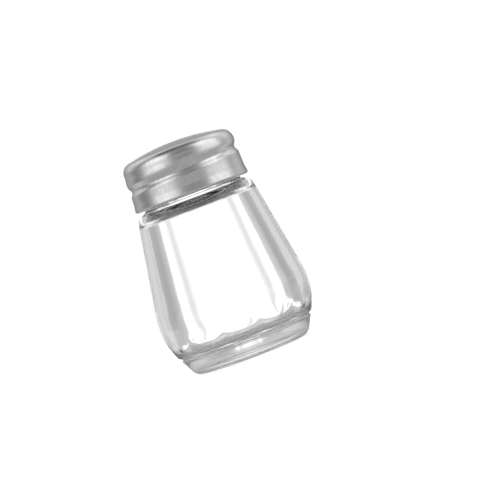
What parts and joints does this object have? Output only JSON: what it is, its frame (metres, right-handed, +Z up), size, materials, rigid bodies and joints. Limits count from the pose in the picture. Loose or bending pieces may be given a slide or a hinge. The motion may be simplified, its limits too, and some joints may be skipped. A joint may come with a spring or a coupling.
{
  "type": "spice jar",
  "caption": "Small clear-glass spice jar with a ring of flats over its round foot and a domed steel screw cap with sprinkle holes over a soft sealing ring.",
  "frame": {"origin": "centre of the foot, on the surface that the jar stands on", "axes": "+Z up the jar's axis to the top of the cap's dome, -Y out of the middle of the flat that faces front"},
  "size_m": [0.0286, 0.0286, 0.0414],
  "materials": {
    "clear_glass": "clear, polished",
    "washer_plastic": "soft translucent white",
    "satin_steel": "satin, lightly brushed"
  },
  "bodies": {
    "jar": {"glass_jar": "clear_glass"},
    "washer": {"sealing_washer": "washer_plastic"},
    "cap": {"shaker_cap": "satin_steel"}
  },
  "joints": [
    {"name": "cap_rise", "type": "slide", "parent": "jar", "child": "washer", "axis": [0, 0, 1], "range_m": [0, 0.012]},
    {"name": "cap_turn", "type": "hinge", "parent": "washer", "child": "cap", "pos_m": [0, 0, 0.0313], "axis": [0, 0, 1], "range_deg": [0, 1440]}
  ],
  "couplings": [
    {"joint": "cap_rise", "follows": "cap_turn", "m_per_rad": 0.00047746}
  ]
}
